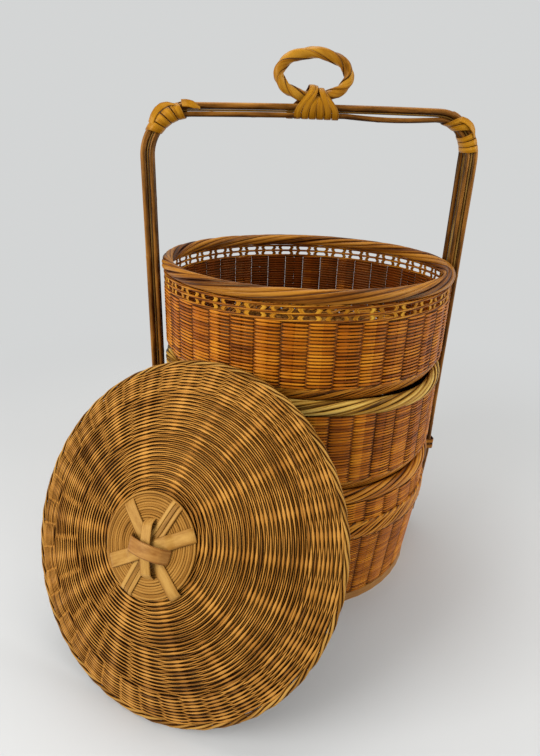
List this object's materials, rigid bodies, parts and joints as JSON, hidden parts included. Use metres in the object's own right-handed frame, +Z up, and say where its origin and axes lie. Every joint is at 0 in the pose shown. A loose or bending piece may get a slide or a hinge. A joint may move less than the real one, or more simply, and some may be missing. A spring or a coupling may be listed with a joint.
{
  "type": "tiered bamboo food basket",
  "caption": "Stacking round woven trays carried in a bent-rod handle with a carry ring, with a domed woven lid leaning beside them.",
  "frame": {"origin": "centre of the base on the ground, on the underside of the slat that passes under the bottom tray", "axes": "+Z up along the axis of the trays; the handle's legs stand on +X and -X, and the lid leans towards -X -Y"},
  "size_m": [0.4621, 0.4598, 0.5608],
  "materials": {
    "honey_weave": "satin",
    "straw_splits": "satin",
    "amber_rods": "semi-gloss",
    "ochre_weave": "matt",
    "golden_cane": "satin"
  },
  "bodies": {
    "bottom_tray_and_handle": {"bottom_tray_floor": "ochre_weave", "bottom_tray_foot_edge": "amber_rods", "bottom_tray_rim": "straw_splits", "bottom_tray_waling": "amber_rods", "bottom_tray_wall": "honey_weave", "handle_inner_rod_back": "amber_rods", "handle_inner_rod_front": "amber_rods", "handle_outer_rod_back": "amber_rods", "handle_outer_rod_front": "amber_rods", "handle_slat": "straw_splits", "corner_wrap_left": "golden_cane", "corner_wrap_right": "golden_cane", "centre_wrap": "golden_cane", "leg_tie_left_lower": "golden_cane", "leg_tie_left_upper": "golden_cane", "leg_tie_right_lower": "golden_cane", "leg_tie_right_upper": "golden_cane"},
    "middle_tray": {"middle_tray_floor": "ochre_weave", "middle_tray_foot": "amber_rods", "middle_tray_rim": "straw_splits", "middle_tray_wall": "honey_weave"},
    "top_tray": {"top_tray_floor": "ochre_weave", "top_tray_foot": "amber_rods", "top_tray_lattice": "honey_weave", "top_tray_rim": "straw_splits", "top_tray_wall": "honey_weave"},
    "lid": {"lid_border": "ochre_weave", "lid_centre_disc": "straw_splits", "lid_knob_strip_lower": "straw_splits", "lid_knob_strip_upper": "amber_rods", "lid_shell": "ochre_weave", "lid_star_strip_1": "straw_splits", "lid_star_strip_2": "straw_splits", "lid_star_strip_3": "straw_splits"},
    "carry_ring": {"carry_ring": "golden_cane"}
  },
  "joints": [
    {"name": "middle_tray_lift", "type": "slide", "parent": "bottom_tray_and_handle", "child": "middle_tray", "axis": [0, 0, 1], "range_m": [0, 0.018]},
    {"name": "top_tray_lift", "type": "slide", "parent": "middle_tray", "child": "top_tray", "axis": [0, 0, 1], "range_m": [0, 0.085]},
    {"name": "lid_away", "type": "slide", "parent": "bottom_tray_and_handle", "child": "lid", "axis": [-0.5621, -0.8271, 0], "range_m": [0, 0.25]},
    {"name": "ring_tilt", "type": "hinge", "parent": "bottom_tray_and_handle", "child": "carry_ring", "pos_m": [-0.0035, 0, 0.51704], "axis": [1, 0, 0], "range_deg": [-35, 35]}
  ]
}
